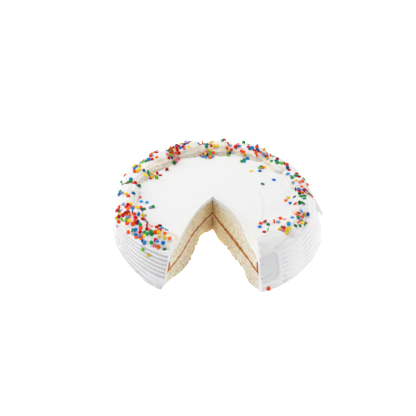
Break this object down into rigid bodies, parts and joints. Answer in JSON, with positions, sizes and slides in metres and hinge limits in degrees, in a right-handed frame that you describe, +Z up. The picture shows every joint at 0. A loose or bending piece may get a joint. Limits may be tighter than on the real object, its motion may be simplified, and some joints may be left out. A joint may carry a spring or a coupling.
{
  "type": "ice cream cake",
  "caption": "Round frosted ice cream cake with a wedge slice taken out, a combed side, a piped shell border and confetti sprinkles.",
  "frame": {"origin": "centre of the cake's round base, on the surface that it stands on", "axes": "+Z up; the missing slice opens towards -Y; +X to the right when looking into the cut"},
  "size_m": [0.2298, 0.2196, 0.0581],
  "materials": {
    "icing": "soft satin icing",
    "crumb": "matt open crumb",
    "cream": "soft cream"
  },
  "bodies": {
    "root": {"lower_cake_layer": "crumb", "cream_filling": "cream", "upper_cake_layer": "crumb", "icing_coat": "icing", "piped_shell_01": "icing", "piped_shell_02": "icing", "piped_shell_03": "icing", "piped_shell_04": "icing", "piped_shell_05": "icing", "piped_shell_06": "icing", "piped_shell_07": "icing", "piped_shell_08": "icing", "piped_shell_09": "icing", "piped_shell_10": "icing", "piped_shell_11": "icing", "piped_shell_12": "icing", "piped_shell_13": "icing"}
  },
  "joints": []
}
